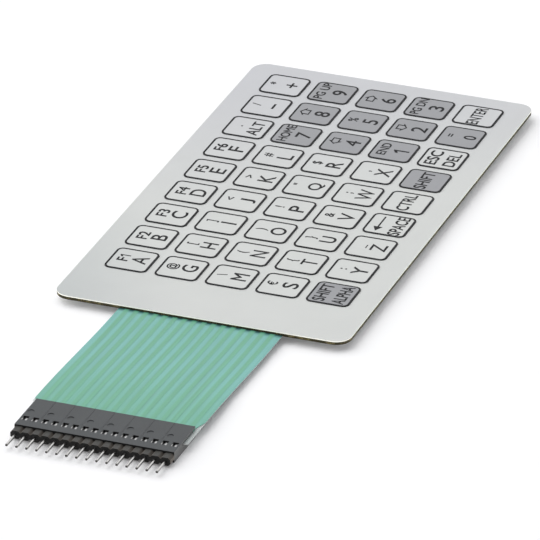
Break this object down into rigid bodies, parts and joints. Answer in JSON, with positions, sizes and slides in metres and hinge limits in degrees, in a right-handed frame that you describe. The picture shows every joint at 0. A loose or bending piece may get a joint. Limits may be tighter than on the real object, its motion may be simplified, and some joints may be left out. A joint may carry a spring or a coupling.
{
  "type": "membrane keypad",
  "caption": "Flat membrane keypad with embossed letter, number and function keys on a light grey face, and a green flat tail that ends in a pin connector.",
  "frame": {"origin": "centre of the plate's rear face, where it is stuck down", "axes": "+X along the key rows, away from the tail; +Y towards the top row of the keys; +Z out of the front face"},
  "size_m": [0.217, 0.077, 0.0028],
  "materials": {
    "adhesive": "pale translucent adhesive film",
    "clear_film": "clear polyester film",
    "silver_print": "matt silver conductive ink",
    "overlay_film": "light grey film with a fine matt grain",
    "black_ink": "printed black",
    "grey_ink": "printed mid grey",
    "green_coat": "teal green insulating coat",
    "housing_plastic": "satin dark grey moulding",
    "header_plastic": "black moulding",
    "contact_metal": "bright plated strip",
    "pin_metal": "bright plated round wire",
    "spacer": "dark olive-brown adhesive-coated film, rough at the cut edge"
  },
  "bodies": {
    "root": {"rear_adhesive": "adhesive", "lower_circuit_film": "clear_film", "lower_print": "silver_print", "spacer_film": "spacer", "upper_circuit_film": "clear_film", "upper_print": "silver_print", "overlay_adhesive": "adhesive", "graphic_overlay": "overlay_film", "key_outlines": "black_ink", "grey_key_fields": "grey_ink", "tail_cover": "green_coat", "connector_housing": "housing_plastic", "header_body": "header_plastic", "contact_01": "contact_metal", "contact_02": "contact_metal", "contact_03": "contact_metal", "contact_04": "contact_metal", "contact_05": "contact_metal", "contact_06": "contact_metal", "contact_07": "contact_metal", "contact_08": "contact_metal", "contact_09": "contact_metal", "contact_10": "contact_metal", "contact_11": "contact_metal", "contact_12": "contact_metal", "contact_13": "contact_metal", "contact_14": "contact_metal", "contact_15": "contact_metal", "contact_16": "contact_metal", "pin_01": "pin_metal", "pin_02": "pin_metal", "pin_03": "pin_metal", "pin_04": "pin_metal", "pin_05": "pin_metal", "pin_06": "pin_metal", "pin_07": "pin_metal", "pin_08": "pin_metal", "pin_09": "pin_metal", "pin_10": "pin_metal", "pin_11": "pin_metal", "pin_12": "pin_metal", "pin_13": "pin_metal", "pin_14": "pin_metal", "pin_15": "pin_metal", "pin_16": "pin_metal"}
  },
  "joints": []
}
